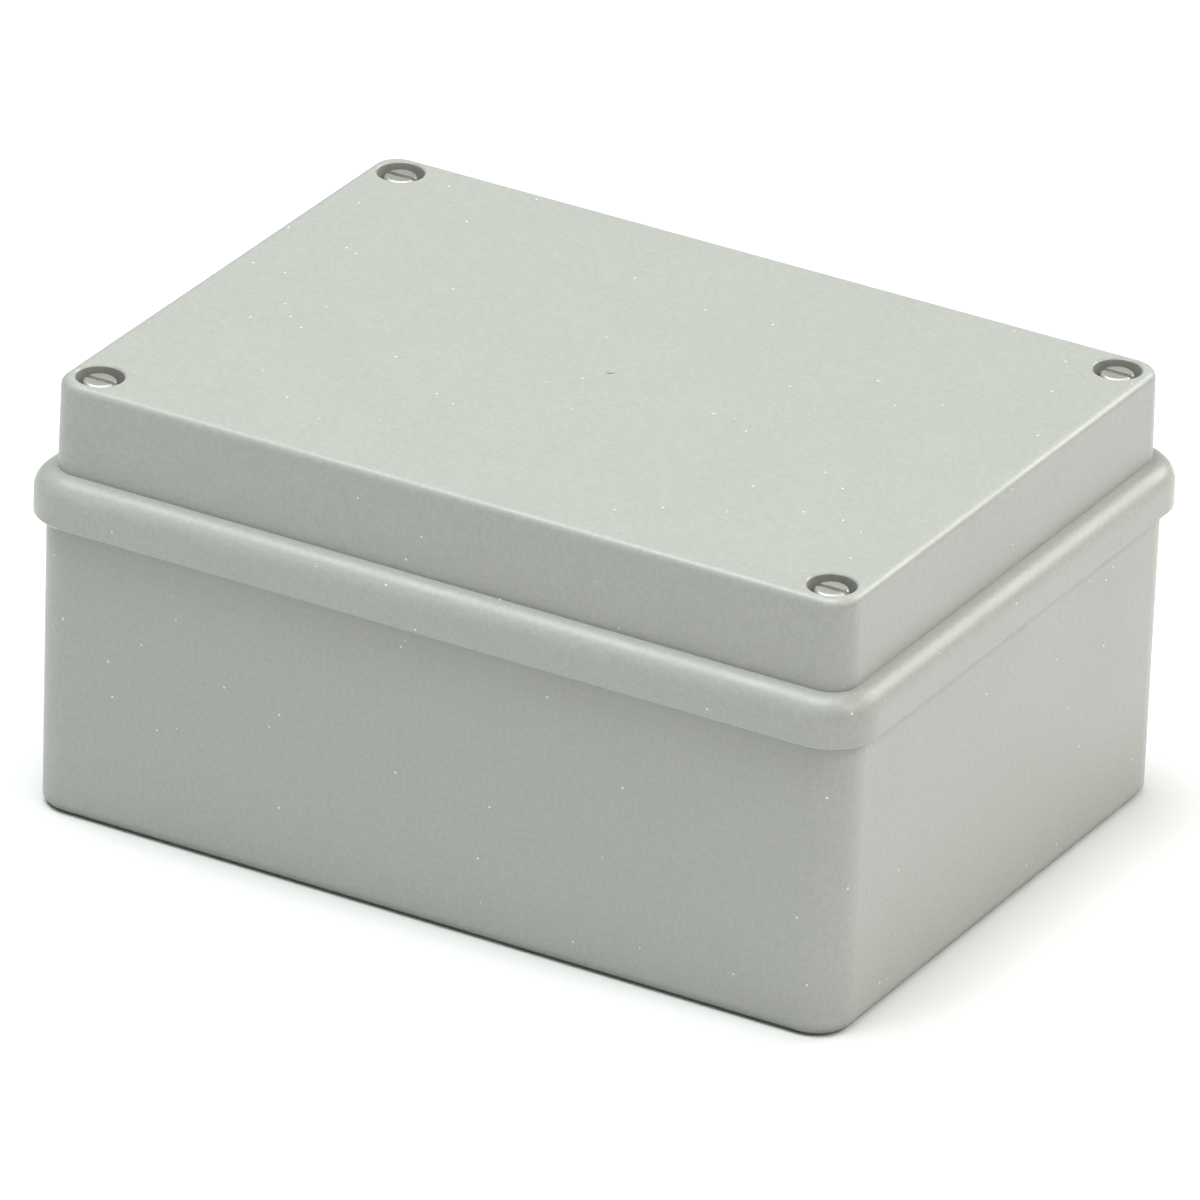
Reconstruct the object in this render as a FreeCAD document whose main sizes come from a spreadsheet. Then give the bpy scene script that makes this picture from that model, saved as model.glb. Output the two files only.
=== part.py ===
"""Surface-mount electrical junction box with a raised lid held by four captive corner screws.

Frame: millimetres, +Z up, origin at the centre of the base's underside, X along the box's
length. The front is the long side at -Y and the right is the short side at +X.
Each sub-part is a body of its own, and its label names its STEP file in parts/.
"""
import FreeCAD, Part
import math
import os
import Sketcher

SIZES = (
    # the moulded shells
    ("body_length", 155.6, "outside length of the base at its mouth"),
    ("body_width", 113.7, "outside width of the base at its mouth"),
    ("base_height", 56.8, "height of the base's wall"),
    ("wall", 2.8, "wall thickness of the base and the lid"),
    ("floor_wall", 2.8, "thickness of the base's floor"),
    ("base_draft", 0.25, "mould draft of the base's walls, in degrees"),
    ("body_corner", 7.0, "radius of the base's upright corners"),
    ("foot_radius", 2.0, "rounding of the base's lower edge"),
    ("tongue_height", 1.2, "height of the sealing tongue on the base's mouth"),
    ("tongue_width", 1.4, "width of the sealing tongue"),
    ("gasket_height", 2.4, "height of the lid's gasket when pressed"),
    ("shoulder_roof", 2.3, "material above the gasket channel"),
    ("shoulder_radius", 4.2, "rounding of the lid's shoulder"),
    ("skirt_wall", 1.9, "thickness of the lid's skirt"),
    ("skirt_gap", 0.3, "gap between the skirt and the base"),
    ("skirt_drop", 6.3, "skirt's lower edge below the gasket channel's roof"),
    ("skirt_edge", 0.35, "chamfer of the skirt's lower outer edge"),
    ("lid_setback", 1.75, "lid wall's setback from the base's outside, at the channel's roof"),
    ("lid_rise", 16.2, "height of the lid's wall above the shoulder"),
    ("lid_draft", 1.0, "mould draft of the lid's walls, in degrees"),
    ("lid_corner", 5.2, "radius of the lid's upright corners"),
    ("lid_edge", 1.5, "rounding of the lid's top edge"),
    ("lid_roof", 2.8, "thickness of the lid's top"),
    ("gate", 1.2, "diameter of the gate mark in the middle of the lid's top"),
    ("gate_height", 0.15, "height of the gate mark"),
    ("lip_drop", 4.8, "locating lip's lower edge below the channel's roof"),
    ("lip_gap", 0.3, "gap between the locating lip and the base's wall"),
    # the lid screws and what goes with them
    ("column_wall", 1.3, "wall of a screw column round the retainer's chamber"),
    ("column_draft", 0.5, "mould draft of a screw column, in degrees"),
    ("column_offset", 0.3, "column's flank from the base's inner wall"),
    ("column_gap", 0.2, "gap between a lid column and a base pillar"),
    ("pillar_merge", 0.7, "how far a base pillar runs into the wall beside it"),
    ("shank", 4.0, "diameter of the lid screw"),
    ("head", 5.8, "diameter of the screw's head"),
    ("head_height", 2.4, "height of the screw's head"),
    ("head_edge", 0.5, "chamfer of the head's top edge"),
    ("head_depth", 0.7, "screw head's top below the lid's surface"),
    ("head_gap", 1.25, "gap round the screw's head in its recess"),
    ("recess_chamfer", 0.25, "chamfer at the mouth of the screw recess"),
    ("slot_width", 1.0, "width of the screwdriver slot"),
    ("slot_depth", 1.0, "depth of the screwdriver slot"),
    ("tip_chamfer", 0.6, "chamfer at the screw's tip"),
    ("engagement", 7.8, "screw's length inside the threaded insert"),
    ("screw_travel", 8.4, "how far a captive screw rises when it is undone"),
    ("shank_gap", 0.25, "gap between the screw and its hole in the lid"),
    ("ring_gap", 0.1, "gap between the screw and the rings on it"),
    ("seal_height", 1.4, "height of the seal under the screw's head"),
    ("retainer", 6.8, "diameter of the ring that keeps the screw in the lid"),
    ("retainer_height", 1.0, "height of the retainer"),
    ("retainer_lift", 0.8, "retainer's height above the column's lower end"),
    ("chamber_gap", 0.3, "gap round and above the retainer in its chamber"),
    ("insert_wall", 1.0, "wall of the threaded insert"),
    ("insert_length", 8.0, "length of the threaded insert"),
    ("thread_gap", 0.07, "gap between the screw's crest and the insert's bore"),
    # the wall-fixing wells, their caps and the floor bosses
    ("well_step_x", 11.9, "fixing hole inward from the lid screw, along the length"),
    ("well_step_y", 10.65, "fixing hole inward from the lid screw, along the width"),
    ("well_hole", 5.2, "diameter of the wall-fixing hole"),
    ("well_bore", 9.4, "inside diameter of the screw well"),
    ("well_wall", 1.8, "wall of the screw well"),
    ("well_height", 8.4, "height of the screw well above the floor"),
    ("cap_gap", 0.08, "gap between a cap's stem and the well"),
    ("cap_head", 1.6, "height of a cap's head"),
    ("cap_overhang", 0.4, "cap's head beyond the well's outside"),
    ("cap_stem", 4.6, "length of a cap's stem"),
    ("cap_wall", 1.2, "wall of a cap's stem"),
    ("cap_edge", 0.5, "chamfer of a cap's top edge"),
    ("cap_notch", 2.0, "width of the prising notch in a cap's rim"),
    ("boss_step", 13.0, "floor boss inward from the fixing hole, both ways"),
    ("boss", 7.0, "diameter of a floor boss"),
    ("boss_height", 6.0, "height of a floor boss above the floor"),
    ("boss_hole", 2.9, "diameter of a floor boss's blind hole"),
    ("boss_hole_depth", 6.5, "depth of a floor boss's blind hole"),
)

# Heights and places that several sub-parts share, as expressions of the sizes above.
TONGUE_TOP = "(Sizes.base_height + Sizes.tongue_height)"
CHANNEL_TOP = f"({TONGUE_TOP} + Sizes.gasket_height)"
SHOULDER_TOP = f"({CHANNEL_TOP} + Sizes.shoulder_roof)"
LID_TOP = f"({SHOULDER_TOP} + Sizes.lid_rise)"
SKIRT_BOTTOM = f"({CHANNEL_TOP} - Sizes.skirt_drop)"
LIP_BOTTOM = f"({CHANNEL_TOP} - Sizes.lip_drop)"
PILLAR_TOP = f"({LIP_BOTTOM} - Sizes.column_gap)"
SEAT = f"({LID_TOP} - Sizes.head_depth - Sizes.head_height - Sizes.seal_height)"
HEAD_UNDERSIDE = f"({SEAT} + Sizes.seal_height)"
RETAINER_BOTTOM = f"({LIP_BOTTOM} + Sizes.retainer_lift)"
WELL_TOP = "(Sizes.floor_wall + Sizes.well_height)"

COLUMN = "(Sizes.retainer / 2 + Sizes.chamber_gap + Sizes.column_wall)"
SCREW_INSET = f"(Sizes.wall + Sizes.column_offset + {COLUMN})"
SCREW_X = f"(Sizes.body_length / 2 - {SCREW_INSET})"
SCREW_Y = f"(Sizes.body_width / 2 - {SCREW_INSET})"
PILLAR = f"({COLUMN} + Sizes.column_offset + Sizes.pillar_merge)"
INSERT_DIAMETER = "(Sizes.shank + 2 * Sizes.thread_gap + 2 * Sizes.insert_wall)"
INSERT_BOTTOM = f"({PILLAR_TOP} - Sizes.insert_length)"
CHAMBER_DIAMETER = "(Sizes.retainer + 2 * Sizes.chamber_gap)"
RETAINER_TRAVEL = "(Sizes.retainer_height + Sizes.screw_travel + Sizes.chamber_gap)"
CHAMBER_TOP = f"({RETAINER_BOTTOM} + {RETAINER_TRAVEL})"
CAVITY_INSET = (
    "2 * (Sizes.lid_setback + Sizes.wall) + 2 * Sizes.lip_drop * tan(Sizes.lid_draft)"
)
WELL_X = f"({SCREW_X} - Sizes.well_step_x)"
WELL_Y = f"({SCREW_Y} - Sizes.well_step_y)"
BOSS_X = f"({WELL_X} - Sizes.boss_step)"
BOSS_Y = f"({WELL_Y} - Sizes.boss_step)"

CORNERS = {
    "front_left": (-1, -1),
    "front_right": (1, -1),
    "back_left": (-1, 1),
    "back_right": (1, 1),
}

doc = FreeCAD.newDocument("junction_box")


def make_sheet():
    """Write every driving size to the spreadsheet, with its alias and its meaning."""
    sheet = doc.addObject("Spreadsheet::Sheet", "Sizes")
    for row, (alias, value, meaning) in enumerate(SIZES, start=1):
        sheet.set(f"A{row}", meaning)
        sheet.set(f"B{row}", str(value))
        sheet.setAlias(f"B{row}", alias)
    doc.recompute()
    return sheet


def number(expression):
    """The value in millimetres of an expression of the sheet's sizes."""
    return float(sheet.evalExpression(expression))


# ---------------------------------------------------------------- sketches


def new_body(label):
    """An empty body whose label names the sub-part."""
    body = doc.addObject("PartDesign::Body", label)
    body.Label = label
    return body


def new_sketch(body, name, plane, height="0"):
    """A sketch on one of the body's own origin planes, raised to the given height."""
    sketch = body.newObject("Sketcher::SketchObject", name)
    origin_planes = {item.Role: item for item in body.Origin.OriginFeatures}
    sketch.AttachmentSupport = (origin_planes[plane], [""])
    sketch.MapMode = "FlatFace"
    sketch.setExpression("AttachmentOffset.Base.z", height)
    return sketch


def dimension(sketch, kind, places, expression):
    """Add one driving constraint that follows an expression."""
    index = sketch.addConstraint(Sketcher.Constraint(kind, *places, number(expression)))
    sketch.setExpression(f"Constraints[{index}]", expression)


def place_point(sketch, geometry, point, x, y):
    """Hold a point at the given distances from the sketch's origin."""
    for kind, axis, expression in (("DistanceX", -2, x), ("DistanceY", -1, y)):
        value = number(expression)
        if abs(value) < 1e-9:
            sketch.addConstraint(Sketcher.Constraint("PointOnObject", geometry, point, axis))
        elif value > 0:
            dimension(sketch, kind, (-1, 1, geometry, point), expression)
        else:
            dimension(sketch, kind, (geometry, point, -1, 1), f"-({expression})")


def add_circle(sketch, x, y, diameter):
    """A circle with its centre and diameter driven by expressions."""
    centre = FreeCAD.Vector(number(x), number(y), 0)
    circle = Part.Circle(centre, FreeCAD.Vector(0, 0, 1), number(diameter) / 2)
    index = sketch.addGeometry(circle)
    place_point(sketch, index, 3, x, y)
    dimension(sketch, "Diameter", (index,), diameter)


def add_corner_circles(sketch, x, y, diameter):
    """Four equal circles, one in each corner of the box."""
    for sign_x, sign_y in CORNERS.values():
        add_circle(sketch, f"({sign_x} * {x})", f"({sign_y} * {y})", diameter)


def add_polygon(sketch, points):
    """A closed outline of straight lines through points given as pairs of expressions."""
    vectors = [FreeCAD.Vector(number(x), number(y), 0) for x, y in points]
    first = sketch.GeometryCount
    count = len(points)
    for index in range(count):
        sketch.addGeometry(Part.LineSegment(vectors[index], vectors[(index + 1) % count]))
    for index, (x, y) in enumerate(points):
        before = first + (index - 1) % count
        sketch.addConstraint(Sketcher.Constraint("Coincident", before, 2, first + index, 1))
        place_point(sketch, first + index, 1, x, y)


def add_rectangle(sketch, length, width):
    """A rectangle centred on the sketch's origin."""
    x, y = f"({length} / 2)", f"({width} / 2)"
    corners = ((-1, -1), (1, -1), (1, 1), (-1, 1))
    add_polygon(sketch, [(f"({a} * {x})", f"({b} * {y})") for a, b in corners])


def add_sides(sketch, half_length, half_width, end_x, end_y):
    """Four straight sides of a rectangle that stop short of its corners.

    The front side is first, then right, back and left. end_x and end_y are where a side
    stops, and the constraints keep each side straight and the two pairs symmetrical.
    """
    first = sketch.GeometryCount
    vector = FreeCAD.Vector
    sides = (
        (vector(-end_x, -half_width, 0), vector(end_x, -half_width, 0)),
        (vector(half_length, -end_y, 0), vector(half_length, end_y, 0)),
        (vector(end_x, half_width, 0), vector(-end_x, half_width, 0)),
        (vector(-half_length, end_y, 0), vector(-half_length, -end_y, 0)),
    )
    for index, (start, end) in enumerate(sides):
        sketch.addGeometry(Part.LineSegment(start, end))
        direction = "Horizontal" if index % 2 == 0 else "Vertical"
        sketch.addConstraint(Sketcher.Constraint(direction, first + index))
    return first


def add_rounded_rectangle(sketch, length, width, radius):
    """A rectangle centred on the origin, with its four corners rounded outwards."""
    half_length, half_width, r = number(length) / 2, number(width) / 2, number(radius)
    x, y = half_length - r, half_width - r
    side = add_sides(sketch, half_length, half_width, x, y)
    arc = sketch.GeometryCount
    for index, (sign_x, sign_y) in enumerate(((1, -1), (1, 1), (-1, 1), (-1, -1))):
        circle = Part.Circle(
            FreeCAD.Vector(sign_x * x, sign_y * y, 0), FreeCAD.Vector(0, 0, 1), r
        )
        start = math.radians(90 * (index - 1))
        sketch.addGeometry(Part.ArcOfCircle(circle, start, start + math.pi / 2))
        after = side + (index + 1) % 4
        sketch.addConstraint(Sketcher.Constraint("Tangent", side + index, 2, arc + index, 1))
        sketch.addConstraint(Sketcher.Constraint("Tangent", arc + index, 2, after, 1))
        if index:
            sketch.addConstraint(Sketcher.Constraint("Equal", arc, arc + index))
    sketch.addConstraint(Sketcher.Constraint("Symmetric", arc, 3, arc + 2, 3, -1, 1))
    dimension(sketch, "DistanceX", (side + 3, 1, side + 1, 1), length)
    dimension(sketch, "DistanceY", (side, 1, side + 2, 1), width)
    dimension(sketch, "Radius", (arc,), radius)


# ---------------------------------------------------------------- features


def finish_feature(body, feature, adds):
    """Recompute a feature, and stop if it did not add or remove material."""
    before = feature.BaseFeature.Shape.Volume if feature.BaseFeature else 0.0
    doc.recompute()
    change = feature.Shape.Volume - before
    if (change > 0) != adds or abs(change) < 1e-6:
        raise RuntimeError(f"{body.Label}: {feature.Name} changed the volume by {change}")
    return feature


def pad(body, sketch, height, up=True, taper="0"):
    """Extrude a sketch, upwards or downwards, optionally with draft."""
    feature = body.newObject("PartDesign::Pad", sketch.Name + "_pad")
    feature.Profile = sketch
    feature.setExpression("Length", height)
    feature.setExpression("TaperAngle", taper)
    feature.Reversed = not up
    return finish_feature(body, feature, adds=True)


def pocket(body, sketch, depth, up=False, taper="0"):
    """Cut a sketch into the body, downwards or upwards, optionally with draft."""
    feature = body.newObject("PartDesign::Pocket", sketch.Name + "_pocket")
    feature.Profile = sketch
    feature.setExpression("Length", depth)
    feature.setExpression("TaperAngle", taper)
    feature.Reversed = up
    return finish_feature(body, feature, adds=False)


def revolve(body, sketch):
    """Turn a profile round the sketch's upright axis."""
    feature = body.newObject("PartDesign::Revolution", sketch.Name + "_turn")
    feature.Profile = sketch
    feature.ReferenceAxis = (sketch, ["V_Axis"])
    feature.Angle = 360
    return finish_feature(body, feature, adds=True)


def edges_at(feature, height, radius=None):
    """Names of the level edges at a height, or only the circles of one radius there."""
    names = []
    for index, edge in enumerate(feature.Shape.Edges, start=1):
        box = edge.BoundBox
        if abs(box.ZMin - height) > 1e-4 or abs(box.ZMax - height) > 1e-4:
            continue
        if radius is not None:
            round_edge = edge.Curve.TypeId == "Part::GeomCircle"
            if not round_edge or abs(edge.Curve.Radius - radius) > 1e-4:
                continue
        names.append(f"Edge{index}")
    return names


def fillet(body, feature, names, radius):
    """Round the named edges of the body's last feature."""
    blend = body.newObject("PartDesign::Fillet", feature.Name + "_round")
    blend.Base = (feature, names)
    blend.setExpression("Radius", radius)
    return finish_feature(body, blend, adds=False)


def chamfer(body, feature, names, size):
    """Chamfer the named edges of the body's last feature."""
    bevel = body.newObject("PartDesign::Chamfer", feature.Name + "_bevel")
    bevel.Base = (feature, names)
    bevel.setExpression("Size", size)
    return finish_feature(body, bevel, adds=False)


# ---------------------------------------------------------------- moulded shells


def make_base():
    """The deep box: drafted walls, corner pillars, screw wells, floor bosses and tongue."""
    body = new_body("base")
    outside = new_sketch(body, "outside", "XY_Plane", "Sizes.base_height")
    add_rounded_rectangle(outside, "Sizes.body_length", "Sizes.body_width", "Sizes.body_corner")
    block = pad(body, outside, "Sizes.base_height", up=False, taper="-Sizes.base_draft")
    fillet(body, block, edges_at(block, 0), "Sizes.foot_radius")

    tongue = new_sketch(body, "tongue", "XY_Plane", "Sizes.base_height")
    for inset in ("(Sizes.wall - Sizes.tongue_width) / 2", "(Sizes.wall + Sizes.tongue_width) / 2"):
        add_inset_outline(tongue, inset)
    pad(body, tongue, "Sizes.tongue_height")

    inside = new_sketch(body, "inside", "XY_Plane", "Sizes.base_height")
    add_inset_outline(inside, "Sizes.wall")
    depth = "Sizes.base_height - Sizes.floor_wall"
    pocket(body, inside, depth, taper="-Sizes.base_draft")

    pillars = new_sketch(body, "pillars", "XY_Plane", PILLAR_TOP)
    add_corner_circles(pillars, SCREW_X, SCREW_Y, f"(2 * {PILLAR})")
    pad(body, pillars, f"{PILLAR_TOP} - Sizes.floor_wall", up=False)

    add_insert_seats(body)
    add_fixing_wells(body)
    add_floor_bosses(body)
    return body


def add_inset_outline(sketch, inset):
    """The base's outline at its mouth, moved inwards; a negative inset moves it outwards."""
    add_rounded_rectangle(
        sketch,
        f"(Sizes.body_length - 2 * ({inset}))",
        f"(Sizes.body_width - 2 * ({inset}))",
        f"(Sizes.body_corner - ({inset}))",
    )


def add_insert_seats(body):
    """A blind bore for the threaded insert in each pillar."""
    seats = new_sketch(body, "insert_seats", "XY_Plane", PILLAR_TOP)
    add_corner_circles(seats, SCREW_X, SCREW_Y, INSERT_DIAMETER)
    pocket(body, seats, "Sizes.insert_length")


def add_fixing_wells(body):
    """A walled well on the floor round each wall-fixing hole."""
    walls = new_sketch(body, "well_walls", "XY_Plane", "Sizes.floor_wall")
    add_corner_circles(walls, WELL_X, WELL_Y, "(Sizes.well_bore + 2 * Sizes.well_wall)")
    pad(body, walls, "Sizes.well_height")
    bores = new_sketch(body, "well_bores", "XY_Plane", WELL_TOP)
    add_corner_circles(bores, WELL_X, WELL_Y, "Sizes.well_bore")
    pocket(body, bores, "Sizes.well_height")
    holes = new_sketch(body, "well_holes", "XY_Plane", "Sizes.floor_wall")
    add_corner_circles(holes, WELL_X, WELL_Y, "Sizes.well_hole")
    pocket(body, holes, "Sizes.floor_wall")


def add_floor_bosses(body):
    """Four bosses with blind holes, for screws that hold what is mounted in the box."""
    bosses = new_sketch(body, "bosses", "XY_Plane", "Sizes.floor_wall")
    add_corner_circles(bosses, BOSS_X, BOSS_Y, "Sizes.boss")
    pad(body, bosses, "Sizes.boss_height")
    holes = new_sketch(body, "boss_holes", "XY_Plane", "Sizes.floor_wall + Sizes.boss_height")
    add_corner_circles(holes, BOSS_X, BOSS_Y, "Sizes.boss_hole")
    pocket(body, holes, "Sizes.boss_hole_depth")


def make_lid():
    """The raised lid: skirt, rounded shoulder, gasket channel, lip and four screw columns."""
    body = new_body("lid")
    band = new_sketch(body, "band", "XY_Plane", SKIRT_BOTTOM)
    add_inset_outline(band, "-(Sizes.skirt_gap + Sizes.skirt_wall)")
    skirt = pad(body, band, f"{SHOULDER_TOP} - {SKIRT_BOTTOM}")
    shoulder_edges = edges_at(skirt, number(SHOULDER_TOP))
    skirt = fillet(body, skirt, shoulder_edges, "Sizes.shoulder_radius")
    chamfer(body, skirt, edges_at(skirt, number(SKIRT_BOTTOM)), "Sizes.skirt_edge")

    crown = new_sketch(body, "crown", "XY_Plane", CHANNEL_TOP)
    length, width = (f"(Sizes.body_{side} - 2 * Sizes.lid_setback)" for side in ("length", "width"))
    add_rounded_rectangle(crown, length, width, "Sizes.lid_corner")
    top = pad(body, crown, f"{LID_TOP} - {CHANNEL_TOP}", taper="-Sizes.lid_draft")
    fillet(body, top, edges_at(top, number(LID_TOP)), "Sizes.lid_edge")

    hollow_lid(body)
    add_lid_bores(body)
    gate = new_sketch(body, "gate", "XY_Plane", LID_TOP)
    add_circle(gate, "0", "0", "Sizes.gate")
    pad(body, gate, "Sizes.gate_height")
    return body


def hollow_lid(body):
    """Cut the skirt's room, the drafted cavity with its columns, and the gasket channel."""
    room = new_sketch(body, "skirt_room", "XY_Plane", SKIRT_BOTTOM)
    add_inset_outline(room, "-Sizes.skirt_gap")
    pocket(body, room, "Sizes.skirt_drop - Sizes.lip_drop", up=True)

    cavity = new_sketch(body, "cavity", "XY_Plane", LIP_BOTTOM)
    length, width = (f"(Sizes.body_{side} - {CAVITY_INSET})" for side in ("length", "width"))
    add_rounded_rectangle(cavity, length, width, "(Sizes.lid_corner - Sizes.wall)")
    height = f"{LID_TOP} - Sizes.lid_roof - {LIP_BOTTOM}"
    pocket(body, cavity, height, up=True, taper="-Sizes.lid_draft")

    columns = new_sketch(body, "columns", "XY_Plane", LIP_BOTTOM)
    add_corner_circles(columns, SCREW_X, SCREW_Y, f"(2 * {COLUMN})")
    pad(body, columns, height, taper="Sizes.column_draft")

    channel = new_sketch(body, "channel", "XY_Plane", LIP_BOTTOM)
    add_channel_outline(channel)
    pocket(body, channel, "Sizes.lip_drop", up=True)


def add_channel_outline(sketch):
    """The gasket channel's two edges: the skirt's inside and the locating lip's outside."""
    add_inset_outline(sketch, "-Sizes.skirt_gap")
    add_inset_outline(sketch, "Sizes.wall + Sizes.lip_gap")


def add_lid_bores(body):
    """In each column: the head's recess, the screw's hole and the retainer's chamber."""
    recesses = new_sketch(body, "recesses", "XY_Plane", LID_TOP)
    recess = "(Sizes.head + 2 * Sizes.head_gap)"
    add_corner_circles(recesses, SCREW_X, SCREW_Y, recess)
    cut = pocket(body, recesses, f"{LID_TOP} - {SEAT}")
    mouths = edges_at(cut, number(LID_TOP), number(recess) / 2)
    chamfer(body, cut, mouths, "Sizes.recess_chamfer")

    holes = new_sketch(body, "screw_holes", "XY_Plane", SEAT)
    add_corner_circles(holes, SCREW_X, SCREW_Y, "(Sizes.shank + 2 * Sizes.shank_gap)")
    pocket(body, holes, f"{SEAT} - {CHAMBER_TOP}")
    chambers = new_sketch(body, "chambers", "XY_Plane", LIP_BOTTOM)
    add_corner_circles(chambers, SCREW_X, SCREW_Y, CHAMBER_DIAMETER)
    pocket(body, chambers, f"{CHAMBER_TOP} - {LIP_BOTTOM}", up=True)


def make_gasket():
    """The soft ring that fills the channel above the base's tongue."""
    body = new_body("lid_gasket")
    ring = new_sketch(body, "ring", "XY_Plane", TONGUE_TOP)
    add_channel_outline(ring)
    pad(body, ring, "Sizes.gasket_height")
    return body


# ---------------------------------------------------------------- screws and small pieces


def make_turned(label, points):
    """A round piece on the Z axis, from its half profile of (radius, height) expressions."""
    body = new_body(label)
    profile = new_sketch(body, "profile", "XZ_Plane")
    add_polygon(profile, points)
    return body, revolve(body, profile)


def ring_profile(inner, outer, bottom, top):
    """The four corners of a ring's section."""
    return ((inner, bottom), (outer, bottom), (outer, top), (inner, top))


def make_screw(label):
    """A slotted cheese-headed lid screw with a plain shank."""
    radius, tip = "(Sizes.shank / 2)", f"({PILLAR_TOP} - Sizes.engagement)"
    head_top = f"({LID_TOP} - Sizes.head_depth)"
    points = (
        ("0", tip),
        (f"({radius} - Sizes.tip_chamfer)", tip),
        (radius, f"({tip} + Sizes.tip_chamfer)"),
        (radius, HEAD_UNDERSIDE),
        ("(Sizes.head / 2)", HEAD_UNDERSIDE),
        ("(Sizes.head / 2)", head_top),
        ("0", head_top),
    )
    body, turned = make_turned(label, points)
    rim = edges_at(turned, number(head_top), number("Sizes.head / 2"))
    chamfer(body, turned, rim, "Sizes.head_edge")
    slot = new_sketch(body, "slot", "XY_Plane", head_top)
    add_rectangle(slot, "(2 * Sizes.head)", "Sizes.slot_width")
    pocket(body, slot, "Sizes.slot_depth")
    return body


def make_seal(label):
    """The rubber ring between a screw's head and its seat."""
    inner, outer = "(Sizes.shank / 2 + Sizes.ring_gap)", "(Sizes.head / 2)"
    body, _ = make_turned(label, ring_profile(inner, outer, SEAT, HEAD_UNDERSIDE))
    return body


def make_retainer(label):
    """The ring on a screw's shank that stops at the top of its chamber in the lid."""
    inner, outer = "(Sizes.shank / 2 + Sizes.ring_gap)", "(Sizes.retainer / 2)"
    top = f"({RETAINER_BOTTOM} + Sizes.retainer_height)"
    body, _ = make_turned(label, ring_profile(inner, outer, RETAINER_BOTTOM, top))
    return body


def make_insert(label):
    """The threaded insert in a base pillar."""
    outer = f"({INSERT_DIAMETER} / 2)"
    inner = f"({outer} - Sizes.insert_wall)"
    body, _ = make_turned(label, ring_profile(inner, outer, INSERT_BOTTOM, PILLAR_TOP))
    return body


def make_cap(label):
    """The insulating cap over a fixing well: a head, a hollow stem and a prising notch."""
    stem = "(Sizes.well_bore / 2 - Sizes.cap_gap)"
    rim = "(Sizes.well_bore / 2 + Sizes.well_wall + Sizes.cap_overhang)"
    top, bottom = f"({WELL_TOP} + Sizes.cap_head)", f"({WELL_TOP} - Sizes.cap_stem)"
    points = (
        ("0", WELL_TOP),
        (f"({stem} - Sizes.cap_wall)", WELL_TOP),
        (f"({stem} - Sizes.cap_wall)", bottom),
        (stem, bottom),
        (stem, WELL_TOP),
        (rim, WELL_TOP),
        (rim, top),
        ("0", top),
    )
    body, turned = make_turned(label, points)
    chamfer(body, turned, edges_at(turned, number(top), number(rim)), "Sizes.cap_edge")
    notch = new_sketch(body, "notch", "XY_Plane", WELL_TOP)
    half = "(Sizes.cap_notch / 2)"
    inner, outer = f"({rim} - {half})", f"({rim} + {half})"
    across = ((inner, f"(-1 * {half})"), (outer, f"(-1 * {half})"), (outer, half), (inner, half))
    add_polygon(notch, across)
    pocket(body, notch, "Sizes.cap_head / 2", up=True)
    return body


def move_to_corner(body, corner, x, y):
    """Stand a body made on the Z axis in its corner of the box."""
    sign_x, sign_y = CORNERS[corner]
    body.setExpression("Placement.Base.x", f"{sign_x} * {x}")
    body.setExpression("Placement.Base.y", f"{sign_y} * {y}")
    return body


def make_small_pieces():
    """The screw, seal, retainer, insert and fixing cap of every corner."""
    makers = (
        ("lid_screw", make_screw, SCREW_X, SCREW_Y),
        ("screw_seal", make_seal, SCREW_X, SCREW_Y),
        ("screw_retainer", make_retainer, SCREW_X, SCREW_Y),
        ("screw_insert", make_insert, SCREW_X, SCREW_Y),
        ("fixing_cap", make_cap, WELL_X, WELL_Y),
    )
    return [
        move_to_corner(make(f"{name}_{corner}"), corner, x, y)
        for name, make, x, y in makers
        for corner in CORNERS
    ]


# ---------------------------------------------------------------- build and export


def check(sub_parts):
    """Stop if any object failed, or any sub-part is not one valid solid."""
    for item in doc.Objects:
        if {"Invalid", "Error"} & set(item.State):
            raise RuntimeError(f"{item.Label} failed: {item.State}")
    for body in sub_parts:
        shape = body.Shape
        if shape.isNull() or not shape.isValid() or len(shape.Solids) != 1:
            raise RuntimeError(f"{body.Label} is not one valid solid")


def export(sub_parts):
    """Write each sub-part to its own STEP file, and print its volume."""
    os.makedirs("parts", exist_ok=True)
    for body in sub_parts:
        body.Shape.exportStep(f"parts/{body.Label}.step")
        print(f"{body.Label}: {body.Shape.Volume / 1000:.3f} cm3")


sheet = make_sheet()
pieces = [make_base(), make_lid(), make_gasket(), *make_small_pieces()]
doc.recompute()
check(pieces)
export(pieces)
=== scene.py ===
"""Looks of a surface-mount electrical junction box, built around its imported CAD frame.

The moulded base, lid and caps keep their CAD shapes and get their finishes. The screws,
threaded inserts, seals, retainers and gasket are built here in full detail and take the
places of their plain CAD solids. All lengths are metres; sizes named _mm are millimetres.
"""
import logging
import math
from dataclasses import dataclass
from enum import Enum
from typing import Callable, Iterable, Optional, Sequence

import bpy
from mathutils import Matrix, Vector


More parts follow.
